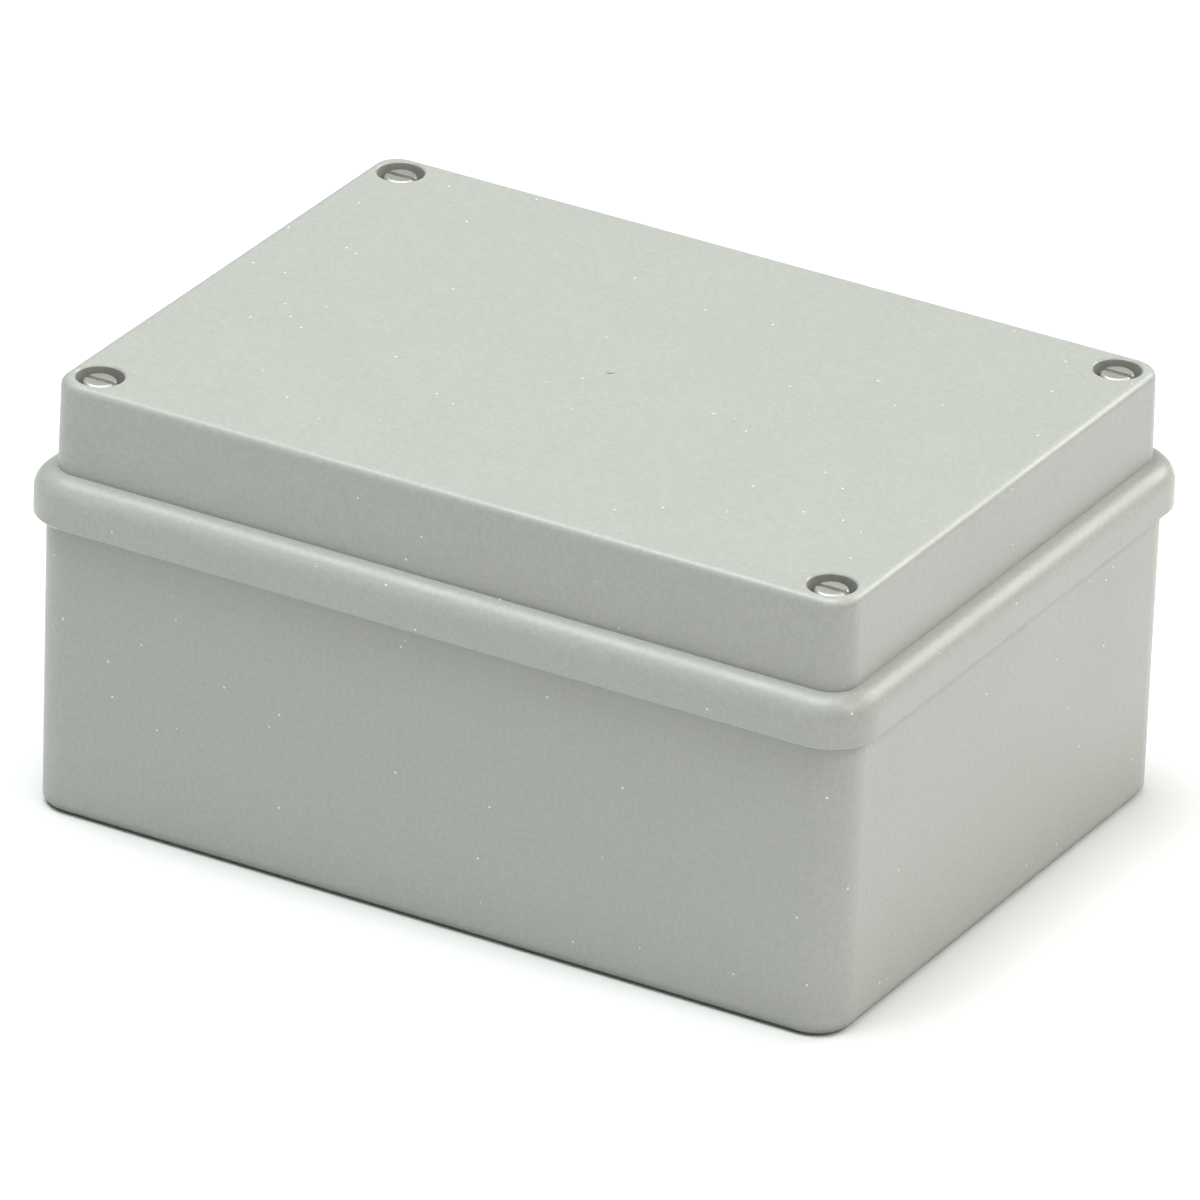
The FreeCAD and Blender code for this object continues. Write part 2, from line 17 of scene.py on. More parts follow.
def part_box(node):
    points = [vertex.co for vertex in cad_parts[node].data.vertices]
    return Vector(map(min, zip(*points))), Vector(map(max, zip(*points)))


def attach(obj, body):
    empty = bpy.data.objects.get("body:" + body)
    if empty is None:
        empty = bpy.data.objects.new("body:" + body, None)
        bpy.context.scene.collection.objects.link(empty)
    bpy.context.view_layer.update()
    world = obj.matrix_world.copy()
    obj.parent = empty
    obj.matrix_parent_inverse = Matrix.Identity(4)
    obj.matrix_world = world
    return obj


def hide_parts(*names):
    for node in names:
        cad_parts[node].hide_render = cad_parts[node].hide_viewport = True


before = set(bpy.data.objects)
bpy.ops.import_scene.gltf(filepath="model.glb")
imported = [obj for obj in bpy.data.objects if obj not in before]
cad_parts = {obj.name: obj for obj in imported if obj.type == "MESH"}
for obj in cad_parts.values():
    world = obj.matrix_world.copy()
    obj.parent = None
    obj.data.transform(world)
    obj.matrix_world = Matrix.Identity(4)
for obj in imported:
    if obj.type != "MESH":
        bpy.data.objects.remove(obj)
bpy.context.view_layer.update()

LOG = logging.getLogger("junction_box")
MM = 0.001
TINY = 1e-7
NOISE_LOW, NOISE_HIGH = 0.3, 0.7  # most of a noise's values lie between these
WAVE_BANDS = 20 / (2 * math.pi)  # the bands in each unit of a wave texture at scale 1
Profile = list[tuple[float, float]]
Stops = Sequence[tuple[float, str]]


class Corner(Enum):
    """The four corners of the box, with the name that its pieces carry."""

    FRONT_LEFT = "front_left"
    FRONT_RIGHT = "front_right"
    BACK_LEFT = "back_left"
    BACK_RIGHT = "back_right"


# ---------------------------------------------------------------- shader helpers


def linear_colour(hex_colour: str) -> tuple[float, float, float, float]:
    """Turn an sRGB colour into the linear one that the shaders take.

    Args:
        hex_colour: the colour as "#RRGGBB".

    Returns:
        The red, green and blue values in linear light, and a full alpha.
    """
    channels = (int(hex_colour[i : i + 2], 16) / 255 for i in (1, 3, 5))
    red, green, blue = (
        c / 12.92 if c <= 0.04045 else ((c + 0.055) / 1.055) ** 2.4 for c in channels
    )
    return red, green, blue, 1.0


def add_node(
    tree: bpy.types.NodeTree, kind: str, inputs: dict, stops: Stops = (), **settings
) -> bpy.types.Node:
    """Add a shader node with its settings, input values and links.

    Args:
        tree: the node tree it goes in.
        kind: the node's type name.
        inputs: an input's name or number to its value, or to the output socket it takes.
        stops: for a colour ramp, its places from 0 to 1 with their sRGB hex colours, in order.
        settings: the node's own properties.

    Returns:
        The new node.
    """
    node = tree.nodes.new(kind)
    for name, value in settings.items():
        setattr(node, name, value)
    for name, value in inputs.items():
        if isinstance(value, bpy.types.NodeSocket):
            tree.links.new(value, node.inputs[name])
        else:
            node.inputs[name].default_value = value
    for _ in stops[2:]:
        node.color_ramp.elements.new(0.5)
    for index, (place, colour) in enumerate(stops):
        stop = node.color_ramp.elements[index]
        stop.position, stop.color = place, linear_colour(colour)
    return node


def new_tree(name: str) -> tuple[bpy.types.Material, bpy.types.NodeTree, bpy.types.NodeSocket]:
    """Start a material with an empty node tree.

    Args:
        name: the material's name.

    Returns:
        The material, its tree, and the object coordinates that its patterns use.
    """
    material = bpy.data.materials.new(name)
    material.use_nodes = True
    tree = material.node_tree
    tree.nodes.clear()
    coordinates = add_node(tree, "ShaderNodeTexCoord", {})
    return material, tree, coordinates.outputs["Object"]


def per_metre(pattern_mm: float) -> float:
    """The texture scale that gives a pattern of that size in millimetres."""
    return 1 / (pattern_mm * MM)


def finish_surface(tree: bpy.types.NodeTree, inputs: dict) -> None:
    """Close a tree with a Principled shader and the material output.

    Args:
        tree: the material's tree.
        inputs: the shader's inputs, as add_node takes them.
    """
    shader = add_node(tree, "ShaderNodeBsdfPrincipled", inputs)
    add_node(tree, "ShaderNodeOutputMaterial", {"Surface": shader.outputs["BSDF"]})


# ---------------------------------------------------------------- finishes


@dataclass(frozen=True)
class SparkErodedThermoplastic:
    """Self-extinguishing thermoplastic moulded in a spark-eroded tool.

    The tool leaves a fine even grain, so the eye gets a matt face with a faint mottle, a few
    pale specks of the filler and a soft wide highlight on rounded edges. Joints and creases get
    painted shade: an ambient-occlusion node darkens the colour there. Such a grain is typically
    about 0.05 mm, too fine to show, so the grain and the mottle are drawn about ten times coarser.
    """

    name: str = "thermoplastic_spark_eroded"
    colour: str = "#AEB0AA"
    pale_mottle: str = "#B2B4AE"
    dull_mottle: str = "#AAACA6"
    speck_colour: str = "#E6E9E4"
    roughness: float = 0.36
    roughness_spread: float = 0.04
    ior: float = 1.50
    grain_mm: float = 0.5
    mottle_mm: float = 0.8
    speck_spacing_mm: float = 5.0
    speck_mm: float = 0.5
    cloud_mm: float = 14.0
    # painted shade: how far the ambient-occlusion node looks, and how dark it paints the creases
    painted_shade_mm: float = 2.2
    painted_shade_value: float = 0.90
    relief_mm: float = 0.03

    def material(self) -> bpy.types.Material:
        """Build the material."""
        material, tree, where = new_tree(self.name)
        mottle = add_node(
            tree,
            "ShaderNodeTexNoise",
            {"Vector": where, "Scale": per_metre(self.mottle_mm), "Detail": 3.0},
        )
        tones = add_node(
            tree,
            "ShaderNodeValToRGB",
            {"Fac": mottle.outputs["Fac"]},
            stops=((0.32, self.dull_mottle), (0.5, self.colour), (0.68, self.pale_mottle)),
        )
        cloud = add_node(
            tree, "ShaderNodeTexNoise", {"Vector": where, "Scale": per_metre(self.cloud_mm)}
        )
        gloss = add_node(
            tree,
            "ShaderNodeMapRange",
            {
                "Value": cloud.outputs["Fac"],
                "From Min": NOISE_LOW,
                "From Max": NOISE_HIGH,
                "To Min": self.roughness - self.roughness_spread,
                "To Max": self.roughness + self.roughness_spread,
            },
        )
        grain = add_node(
            tree,
            "ShaderNodeTexNoise",
            {"Vector": where, "Scale": per_metre(self.grain_mm), "Detail": 4.0},
        )
        relief = add_node(
            tree,
            "ShaderNodeBump",
            {"Height": grain.outputs["Fac"], "Strength": 0.5, "Distance": self.relief_mm * MM},
        )
        specked = self._add_specks(tree, where, tones.outputs["Color"])
        finish_surface(
            tree,
            {
                "Base Color": self._paint_crease_shade(tree, specked),
                "Roughness": gloss.outputs["Result"],
                "IOR": self.ior,
                "Normal": relief.outputs["Normal"],
            },
        )
        return material

    def _add_specks(
        self, tree: bpy.types.NodeTree, where: bpy.types.NodeSocket, tones: bpy.types.NodeSocket
    ) -> bpy.types.NodeSocket:
        """Scatter the pale specks over the colour.

        Args:
            tree: the material's tree.
            where: the coordinates.
            tones: the colour below the specks.

        Returns:
            The colour with its specks.
        """
        scale = per_metre(self.speck_spacing_mm)
        cells = add_node(tree, "ShaderNodeTexVoronoi", {"Vector": where, "Scale": scale})
        radius = self.speck_mm / 2 / self.speck_spacing_mm
        near = add_node(
            tree,
            "ShaderNodeMapRange",
            {
                "Value": cells.outputs["Distance"],
                "From Min": radius * 0.7,
                "From Max": radius,
                "To Min": 1.0,
                "To Max": 0.0,
            },
        )
        specked = add_node(
            tree,
            "ShaderNodeMixRGB",
            {
                "Fac": near.outputs["Result"],
                "Color1": tones,
                "Color2": linear_colour(self.speck_colour),
            },
        )
        return specked.outputs["Color"]

    def _paint_crease_shade(
        self, tree: bpy.types.NodeTree, colour: bpy.types.NodeSocket
    ) -> bpy.types.NodeSocket:
        """Paint shade into the colour in joints and creases.

        Args:
            tree: the material's tree.
            colour: the colour of the open faces.

        Returns:
            The colour with painted shade in its creases.
        """
        # painted shade: the ambient-occlusion factor darkens the colour in creases, joints and
        # recesses
        crease_shade_ao = add_node(
            tree, "ShaderNodeAmbientOcclusion", {"Distance": self.painted_shade_mm * MM}, samples=8
        )
        value = add_node(
            tree,
            "ShaderNodeMapRange",
            {
                "Value": crease_shade_ao.outputs["AO"],
                "From Min": 0.3,
                "To Min": self.painted_shade_value,
            },
        )
        shaded_colour = add_node(
            tree, "ShaderNodeHueSaturation", {"Value": value.outputs["Result"], "Color": colour}
        )
        return shaded_colour.outputs["Color"]


@dataclass(frozen=True)
class ZincPlatedSteel:
    """Cold-headed steel, zinc plated and passivated.

    Plating leaves a clear grey metal with faint cloudy patches, so the eye gets a soft
    metallic glint that differs a little from one screw to the next. The heading marks keep a
    typical size of about 0.1 mm, so they show only close up.
    """

    name: str = "steel_zinc_plated"
    colour: str = "#DAD9D3"
    dull_patch: str = "#C2C1BA"
    roughness: float = 0.52
    duller_by: float = 0.08
    brighter_by: float = 0.06
    cloud_mm: float = 1.6
    tool_mark_mm: float = 0.12
    relief_mm: float = 0.008

    def material(self) -> bpy.types.Material:
        """Build the material."""
        material, tree, where = new_tree(self.name)
        cloud = add_node(
            tree,
            "ShaderNodeTexNoise",
            {"Vector": where, "Scale": per_metre(self.cloud_mm), "Detail": 4.0},
        )
        patches = add_node(
            tree,
            "ShaderNodeValToRGB",
            {"Fac": cloud.outputs["Fac"]},
            stops=((0.35, self.dull_patch), (0.62, self.colour)),
        )
        sheen = add_node(
            tree,
            "ShaderNodeMapRange",
            {
                "Value": cloud.outputs["Fac"],
                "From Min": NOISE_LOW,
                "From Max": NOISE_HIGH,
                "To Min": self.roughness + self.duller_by,
                "To Max": self.roughness - self.brighter_by,
            },
        )
        marks = add_node(
            tree, "ShaderNodeTexNoise", {"Vector": where, "Scale": per_metre(self.tool_mark_mm)}
        )
        relief = add_node(
            tree,
            "ShaderNodeBump",
            {"Height": marks.outputs["Fac"], "Strength": 0.4, "Distance": self.relief_mm * MM},
        )
        finish_surface(
            tree,
            {
                "Base Color": patches.outputs["Color"],
                "Metallic": 1.0,
                "Roughness": sheen.outputs["Result"],
                "Normal": relief.outputs["Normal"],
            },
        )
        return material


@dataclass(frozen=True)
class TurnedBrass:
    """Free-cutting brass, turned and knurled.

    Turning leaves fine rings, so the eye gets a warm yellow metal whose glint is drawn out
    across the rings. Such rings are typically about 0.1 mm apart, too fine to show, so they
    are drawn about ten times coarser.
    """

    name: str = "brass_turned"
    colour: str = "#D9B365"
    dull_patch: str = "#B98F48"
    roughness: float = 0.30
    cloud_mm: float = 2.2
    ring_mm: float = 1.131
    relief_mm: float = 0.006

    def material(self) -> bpy.types.Material:
        """Build the material."""
        material, tree, where = new_tree(self.name)
        cloud = add_node(
            tree,
            "ShaderNodeTexNoise",
            {"Vector": where, "Scale": per_metre(self.cloud_mm), "Detail": 3.0},
        )
        patches = add_node(
            tree,
            "ShaderNodeValToRGB",
            {"Fac": cloud.outputs["Fac"]},
            stops=((0.3, self.dull_patch), (0.6, self.colour)),
        )
        scale = per_metre(self.ring_mm) / WAVE_BANDS
        rings = add_node(
            tree,
            "ShaderNodeTexWave",
            {"Vector": where, "Scale": scale, "Distortion": 0.6},
            bands_direction="Z",
        )
        relief = add_node(
            tree,
            "ShaderNodeBump",
            {"Height": rings.outputs["Fac"], "Strength": 0.4, "Distance": self.relief_mm * MM},
        )
        finish_surface(
            tree,
            {
                "Base Color": patches.outputs["Color"],
                "Metallic": 1.0,
                "Roughness": self.roughness,
                "Normal": relief.outputs["Normal"],
            },
        )
        return material


@dataclass(frozen=True)
class FoamedPolyurethane:
    """Polyurethane foamed in place in the lid's channel.

    The skin is soft and closed with tiny open cells, so the eye gets a dull dark seal with
    fine pits and almost no highlight. The pits carry painted shade, darker towards their middles.
    """

    name: str = "polyurethane_foamed"
    colour: str = "#3A3B3A"
    pit_shade_colour: str = "#1E1F1E"
    roughness: float = 0.85
    ior: float = 1.48
    cell_mm: float = 0.35
    relief_mm: float = 0.09

    def material(self) -> bpy.types.Material:
        """Build the material."""
        material, tree, where = new_tree(self.name)
        cells = add_node(
            tree, "ShaderNodeTexVoronoi", {"Vector": where, "Scale": per_metre(self.cell_mm)}
        )
        depth = cells.outputs["Distance"]
        pits = add_node(
            # painted shade: the colour darkens where the bump sinks each cell's pit
            tree,
            "ShaderNodeValToRGB",
            {"Fac": depth},
            stops=((0.1, self.pit_shade_colour), (0.45, self.colour)),
        )
        relief = add_node(
            tree,
            "ShaderNodeBump",
            {"Height": depth, "Strength": 0.7, "Distance": self.relief_mm * MM},
        )
        finish_surface(
            tree,
            {
                "Base Color": pits.outputs["Color"],
                "Roughness": self.roughness,
                "IOR": self.ior,
                "Normal": relief.outputs["Normal"],
            },
        )
        return material


@dataclass(frozen=True)
class MouldedPolymer:
    """A small moulded part in one polymer, such as nitrile rubber or nylon.

    Moulding in a blasted tool leaves a low even texture, so the eye gets one calm colour
    with a faint mottle and a soft highlight on its rounded edges. Such a texture is typically
    about 0.1 mm, too fine to show, so it is drawn about three times coarser.
    """

    name: str
    colour: str
    mottle: str
    roughness: float
    ior: float
    grain_mm: float = 0.3
    relief_mm: float = 0.02
    translucence: float = 0.0
    scatter_mm: float = 1.5

    def material(self) -> bpy.types.Material:
        """Build the material."""
        material, tree, where = new_tree(self.name)
        grain = add_node(
            tree,
            "ShaderNodeTexNoise",
            {"Vector": where, "Scale": per_metre(self.grain_mm), "Detail": 4.0},
        )
        tones = add_node(
            tree,
            "ShaderNodeValToRGB",
            {"Fac": grain.outputs["Fac"]},
            stops=((0.35, self.mottle), (0.65, self.colour)),
        )
        relief = add_node(
            tree,
            "ShaderNodeBump",
            {"Height": grain.outputs["Fac"], "Strength": 0.5, "Distance": self.relief_mm * MM},
        )
        finish_surface(
            tree,
            {
                "Base Color": tones.outputs["Color"],
                "Roughness": self.roughness,
                "IOR": self.ior,
                "Subsurface Weight": self.translucence,
                "Subsurface Scale": self.scatter_mm * MM,
                "Normal": relief.outputs["Normal"],
            },
        )
        return material


NITRILE_RUBBER = MouldedPolymer("nitrile_rubber_moulded", "#2B2C2B", "#1C1D1C", 0.6, 1.52)
NATURAL_NYLON = MouldedPolymer(
    "nylon_moulded", "#E4DFCE", "#D6D0BC", 0.42, 1.53, translucence=0.2
)
GREY_POLYETHYLENE = MouldedPolymer(
    "polyethylene_moulded", "#B9BFBA", "#AEB5AF", 0.5, 1.51, grain_mm=0.5, translucence=0.1
)


# ---------------------------------------------------------------- mesh helpers


def arc(cx: float, cz: float, radius: float, start: float, end: float, steps: int) -> Profile:
    """Points along an arc of a profile.

    Args:
        cx: the centre's distance from the axis.
        cz: the centre's height.
        radius: the arc's radius.
        start: the first angle in degrees, 0 outwards and 90 up.
        end: the last angle in degrees.
        steps: the number of spans.

    Returns:
        The points, both ends included.
    """
    angles = (math.radians(start + (end - start) * i / steps) for i in range(steps + 1))
    return [(cx + radius * math.cos(a), cz + radius * math.sin(a)) for a in angles]


def thread_dip(turns: float, depth: float, flat: float = 0.15) -> float:
    """How far a thread's flank lies below its crest.

    Args:
        turns: the distance along the thread, in pitches.
        depth: the thread's depth.
        flat: the share of a pitch that each crest and each root is flat for.

    Returns:
        The dip, from 0 on the crest to depth in the root.
    """
    share = abs((turns % 1) * 2 - 1)
    return depth * min(max((share - flat) / (1 - 2 * flat), 0.0), 1.0)


def grid_mesh(
    name: str, rings: Sequence[Sequence[Vector]], closed: bool, caps: bool = False
) -> bpy.types.Object:
    """A smooth mesh object from rings of points, each ring joined round to its start.

    Args:
        name: the object's name.
        rings: the rings, in order, all with the same number of points.
        closed: whether the last ring joins the first.
        caps: whether a fan closes the first and the last ring.

    Returns:
        The object, linked to the scene.
    """
    count = len(rings[0])
    points = [point for ring in rings for point in ring]
    spans = len(rings) if closed else len(rings) - 1
    faces = []
    for i in range(spans):
        here, there = i * count, ((i + 1) % len(rings)) * count
        for k in range(count):
            after = (k + 1) % count
            faces.append((here + k, here + after, there + after, there + k))
    if caps:
        for ring, start, turn in ((rings[0], 0, -1), (rings[-1], (len(rings) - 1) * count, 1)):
            middle = sum(ring, Vector()) / count
            points.append(middle)
            for k in range(count):
                edge = (start + k, start + (k + 1) % count)[::turn]
                faces.append((*edge, len(points) - 1))
    mesh = bpy.data.meshes.new(name)
    mesh.from_pydata(points, [], faces)
    mesh.validate()
    mesh.shade_smooth()
    obj = bpy.data.objects.new(name, mesh)
    bpy.context.scene.collection.objects.link(obj)
    return obj


def lathe(
    name: str,
    profile: Profile,
    segments: int,
    closed: bool,
    shape: Optional[Callable[[float, float, float], float]] = None,
) -> bpy.types.Object:
    """Turn a profile round the Z axis, with its radius free to change round the turn.

    Args:
        name: the object's name.
        profile: points of (radius, height).
        segments: the number of points round the axis.
        closed: whether the profile is a closed loop, as a ring's section is.
        shape: gives the radius at (radius, height, angle); the plain radius if left out.

    Returns:
        The object, linked to the scene.
    """
    rings = []
    for radius, height in profile:
        ring = []
        for k in range(segments):
            angle = 2 * math.pi * k / segments
            r = shape(radius, height, angle) if shape else radius
            ring.append(Vector((r * math.cos(angle), r * math.sin(angle), height)))
        rings.append(ring)
    return grid_mesh(name, rings, closed, caps=not closed)


def sharpen(obj: bpy.types.Object, degrees: float) -> None:
    """Keep a piece's creases crisp: edges that turn more than the angle stay sharp."""
    obj.data.set_sharp_from_angle(angle=math.radians(degrees))


def cut_away(obj: bpy.types.Object, cutter: bpy.types.Object) -> None:
    """Cut one closed mesh out of another, and remove the cutter.

    Args:
        obj: the piece that is cut.
        cutter: the closed mesh that is taken out of it.
    """
    modifier = obj.modifiers.new("cut", "BOOLEAN")
    modifier.operation = "DIFFERENCE"
    modifier.solver = "EXACT"
    modifier.object = cutter
    evaluated = obj.evaluated_get(bpy.context.evaluated_depsgraph_get())
    result = bpy.data.meshes.new_from_object(evaluated)
    obj.modifiers.clear()
    obj.data = result
    bpy.data.objects.remove(cutter)


def block(name: str, size: Vector, middle: Vector) -> bpy.types.Object:
    """A rectangular cutter of that size about its middle."""
    half = size / 2
    rings = [
        [
            middle + Vector((sx * half.x, sy * half.y, sz * half.z))
            for sx, sy in ((-1, -1), (1, -1), (1, 1), (-1, 1))
        ]
        for sz in (-1, 1)
    ]
    return grid_mesh(name, rings, closed=False, caps=True)


def settle(
    obj: bpy.types.Object,
    finish: bpy.types.Material,
    body: str,
    node: str,
    place: Optional[Vector] = None,
) -> None:
    """Give a finished piece its material and place, and let it stand for its CAD node.

    Args:
        obj: the piece.
        finish: its material.
        body: the CAD body it rides on.
        node: the CAD node it stands for.
        place: where its own origin goes, if it isn't in place already.
    """
    obj.data.materials.clear()
    obj.data.materials.append(finish)
    if place is not None:
        obj.data.transform(Matrix.Translation(place))
    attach(obj, body)
    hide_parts(node)
    LOG.info("%s stands for %s on %s", obj.name, node, body)


def axis_of(node: str) -> Vector:
    """The point at zero height on the upright axis of a round CAD node."""
    low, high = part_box(node)
    return Vector(((low.x + high.x) / 2, (low.y + high.y) / 2, 0))


# ---------------------------------------------------------------- small parts


@dataclass
class LidScrew:
    """A captive cheese-headed lid screw with a slot and a rolled thread."""

    corner: Corner
    finish: bpy.types.Material
    shank_mm: float = 4.0
    pitch_mm: float = 0.7
    thread_depth_mm: float = 0.42
    thread_length_mm: float = 12.6
    tip_chamfer_mm: float = 0.6
    head_height_mm: float = 2.4
    head_round_mm: float = 0.6
    neck_mm: float = 0.2
    neck_flare_mm: float = 0.05
    head_lower_edge_mm: float = 0.1
    slot_width_mm: float = 1.0
    slot_depth_mm: float = 1.0
    rows_per_pitch: int = 6
    segments: int = 40
    sharp_deg: float = 38.0

    def build(self) -> bpy.types.Object:
        """Turn the head and shank, roll the thread and cut the slot.

        Returns:
            The screw, on the Z axis at its own height.
        """
        low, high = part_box(f"lid_screw_{self.corner.value}")
        tip, top = low.z, high.z
        head = (high.x - low.x) / 2
        shank, chamfer = self.shank_mm / 2 * MM, self.tip_chamfer_mm * MM
        under, edge = top - self.head_height_mm * MM, self.head_round_mm * MM
        thread_end = tip + self.thread_length_mm * MM
        lower_edge = self.head_lower_edge_mm * MM
        rows = round(self.thread_length_mm / self.pitch_mm * self.rows_per_pitch)
        step = (thread_end - tip - chamfer) / rows
        thread = [(shank, tip + chamfer + i * step) for i in range(rows + 1)]
        profile = [
            (shank - chamfer, tip),
            *thread,
            (shank, under - self.neck_mm * MM),
            (shank + self.neck_flare_mm * MM, under),
            (head - lower_edge, under),
            (head, under + lower_edge),
            *arc(head - edge, top - edge, edge, 0, 90, 6),
            (head / 2, top),
        ]

        def rolled(radius: float, height: float, angle: float) -> float:
            """The radius where the thread is, with its ends run out."""
            if height <= tip + chamfer / 2 or height > thread_end + step / 2:
                return radius
            pitch = self.pitch_mm * MM
            fade = min((thread_end - height) / pitch, 1.0)
            turns = (height - tip) / pitch - angle / (2 * math.pi)
            return radius - thread_dip(turns, self.thread_depth_mm * MM) * max(fade, 0.0)

        screw = lathe(f"screw_{self.corner.value}", profile, self.segments, False, rolled)
        slot = Vector((3 * head, self.slot_width_mm * MM, 2 * self.slot_depth_mm * MM))
        cut_away(screw, block("slot", slot, Vector((0, 0, top))))
        sharpen(screw, self.sharp_deg)
        return screw

    def dress(self, screw: bpy.types.Object) -> None:
        """Finish the screw and set it in its corner."""
        node = f"lid_screw_{self.corner.value}"
        body = f"screw_{self.corner.value}"
        settle(screw, self.finish, body, node, axis_of(node))


@dataclass
class ThreadedInsert:
    """A knurled brass insert with an internal thread, set in a base pillar."""

    corner: Corner
    finish: bpy.types.Material
    bore_mm: float = 4.14
    pitch_mm: float = 0.7
    thread_depth_mm: float = 0.4
    lead_in_mm: float = 0.35
    knurls: int = 24
    knurl_depth_mm: float = 0.12
    groove_depth_mm: float = 0.3
    groove_height_mm: float = 1.6
    edge_mm: float = 0.15
    rows_per_pitch: int = 6
    sharp_deg: float = 35.0

    def build(self) -> bpy.types.Object:
        """Shape the insert's section and turn it with its knurls and thread.

        Returns:
            The insert, on the Z axis at its own height.
        """
        low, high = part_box(f"screw_insert_{self.corner.value}")
        bottom, top, outer = low.z, high.z, (high.x - low.x) / 2
        bore, lead = self.bore_mm / 2 * MM, self.lead_in_mm * MM
        middle, half = (bottom + top) / 2, self.groove_height_mm / 2 * MM
        root = outer - self.groove_depth_mm * MM
        pitch, edge = self.pitch_mm * MM, self.edge_mm * MM
        rows = round((top - bottom) / pitch * self.rows_per_pitch)
        span = (top - bottom - 2 * lead) / rows
        thread = [(bore, top - lead - i * span) for i in range(rows + 1)]
        profile = [
            (bore + lead, bottom),
            (outer - edge, bottom),
            (outer, bottom + edge),
            (outer, middle - half),
            (root, middle - half),
            (root, middle + half),
            (outer, middle + half),
            (outer, top - edge),
            (outer - edge, top),
            (bore + lead, top),
            *thread,
        ]

        def worked(radius: float, height: float, angle: float) -> float:
            """The radius with the knurls pressed in outside and the thread cut inside."""
            if radius >= outer - TINY:
                wave = 0.5 + 0.5 * math.cos(self.knurls * angle)
                return radius - self.knurl_depth_mm * MM * wave
            if radius <= bore + TINY:
                depth = self.thread_depth_mm * MM
                turns = (height - bottom) / pitch - angle / (2 * math.pi)
                return radius + depth - thread_dip(turns, depth)
            return radius

        insert = lathe(f"insert_{self.corner.value}", profile, 2 * self.knurls, True, worked)
        sharpen(insert, self.sharp_deg)
        return insert

    def dress(self, insert: bpy.types.Object) -> None:
        """Finish the insert and set it in its pillar."""
        node = f"screw_insert_{self.corner.value}"
        settle(insert, self.finish, "base", node, axis_of(node))


@dataclass
class ShankRing:
    """A ring that rides on a screw's shank: the seal under the head, or the retainer."""

    corner: Corner
    finish: bpy.types.Material
    kind: str
    slot: str
    round_mm: float
    notches: int = 0
    notch_depth_mm: float = 0.0
    notch_gap_share: float = 0.3
    bore_mm: float = 4.2
    segments: int = 48

    def build(self) -> bpy.types.Object:
        """Turn a ring with rounded edges, and press its inner notches.

        Returns:
            The ring, on the Z axis at its own height.
        """
        low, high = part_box(f"{self.kind}_{self.corner.value}")
        inner, outer = self.bore_mm / 2 * MM, (high.x - low.x) / 2
        r = self.round_mm * MM
        corners = (
            (outer - r, low.z + r, -90),
            (outer - r, high.z - r, 0),
            (inner + r, high.z - r, 90),
            (inner + r, low.z + r, 180),
        )
        profile = [p for x, z, start in corners for p in arc(x, z, r, start, start + 90, 4)]

        def notched(radius: float, _height: float, angle: float) -> float:
            """The radius, pushed out at the notches of the inner edge."""
            if not self.notches or radius > inner + 2 * r:
                return radius
            share = self.notch_gap_share
            wave = max(math.cos(self.notches * angle) - share, 0.0) / (1 - share)
            return radius + self.notch_depth_mm * MM * wave

        name = f"{self.kind}_ring_{self.corner.value}"
        return lathe(name, profile, self.segments, True, notched)

    def dress(self, ring: bpy.types.Object) -> None:
        """Finish the ring and thread it on its screw."""
        node = f"{self.kind}_{self.corner.value}"
        body = f"screw_rings_{self.corner.value}"
        settle(ring, self.finish, body, node, axis_of(node))


@dataclass
class FoamGasket:
    """The foamed seal in the lid's channel, with the groove that the tongue presses in it."""

    finish: bpy.types.Material
    corner_mm: float = 7.0
    channel_gap_mm: float = 0.3
    width_mm: float = 3.4
    wall_mm: float = 2.8
    tongue_mm: float = 1.4
    tongue_room_mm: float = 0.06
    lap_mm: float = 0.55
    bulge_mm: float = 0.25
    spans: int = 12
    sharp_deg: float = 60.0

    def build(self) -> bpy.types.Object:
        """Sweep the gasket's section round the mouth of the box.

        Returns:
            The gasket, in place.
        """
        rings = [
            [start + outward * reach + Vector((0, 0, height)) for reach, height in self._section()]
            for start, outward in self._path()
        ]
        gasket = grid_mesh("gasket_foam_ring", rings, closed=True)
        sharpen(gasket, self.sharp_deg)
        return gasket

    def _section(self) -> Profile:
        """The gasket's section, as (reach from the corner centres, height).

        Returns:
            A closed loop of points, wound the same way all round.
        """
        low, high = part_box("lid_gasket")
        outside = (self.corner_mm + self.channel_gap_mm) * MM
        inside = outside - self.width_mm * MM
        middle = (self.corner_mm - self.wall_mm / 2) * MM
        half = (self.tongue_mm / 2 + self.tongue_room_mm) * MM
        lap, top = low.z - self.lap_mm * MM, high.z
        bulge = self.bulge_mm * MM
        return [
            (outside, top),
            (inside, top),
            (inside, lap + bulge),
            (inside + bulge, lap),
            (middle - half - bulge, lap),
            (middle - half, lap + bulge),
            (middle - half, low.z + self.tongue_room_mm * MM),
            (middle + half, low.z + self.tongue_room_mm * MM),
            (middle + half, lap + bulge),
            (middle + half + bulge, lap),
            (outside - bulge, lap),
            (outside, lap + bulge),
        ]

    def _path(self) -> Iterable[tuple[Vector, Vector]]:
        """The stations of the sweep, as corner centres and outward directions.

        Returns:
            Pairs of a corner's centre and a level unit vector, going once round.
        """
        _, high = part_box("lid_gasket")
        outside = (self.corner_mm + self.channel_gap_mm) * MM
        x, y = high.x - outside, high.y - outside
        for quarter, (sx, sy) in enumerate(((1, 1), (-1, 1), (-1, -1), (1, -1))):
            centre = Vector((sx * x, sy * y, 0))
            for i in range(self.spans + 1):
                angle = math.pi / 2 * (quarter + i / self.spans)
                yield centre, Vector((math.cos(angle), math.sin(angle), 0))

    def dress(self, gasket: bpy.types.Object) -> None:
        """Finish the gasket and let it go with the lid."""
        settle(gasket, self.finish, "lid", "lid_gasket")


# ---------------------------------------------------------------- moulded shells


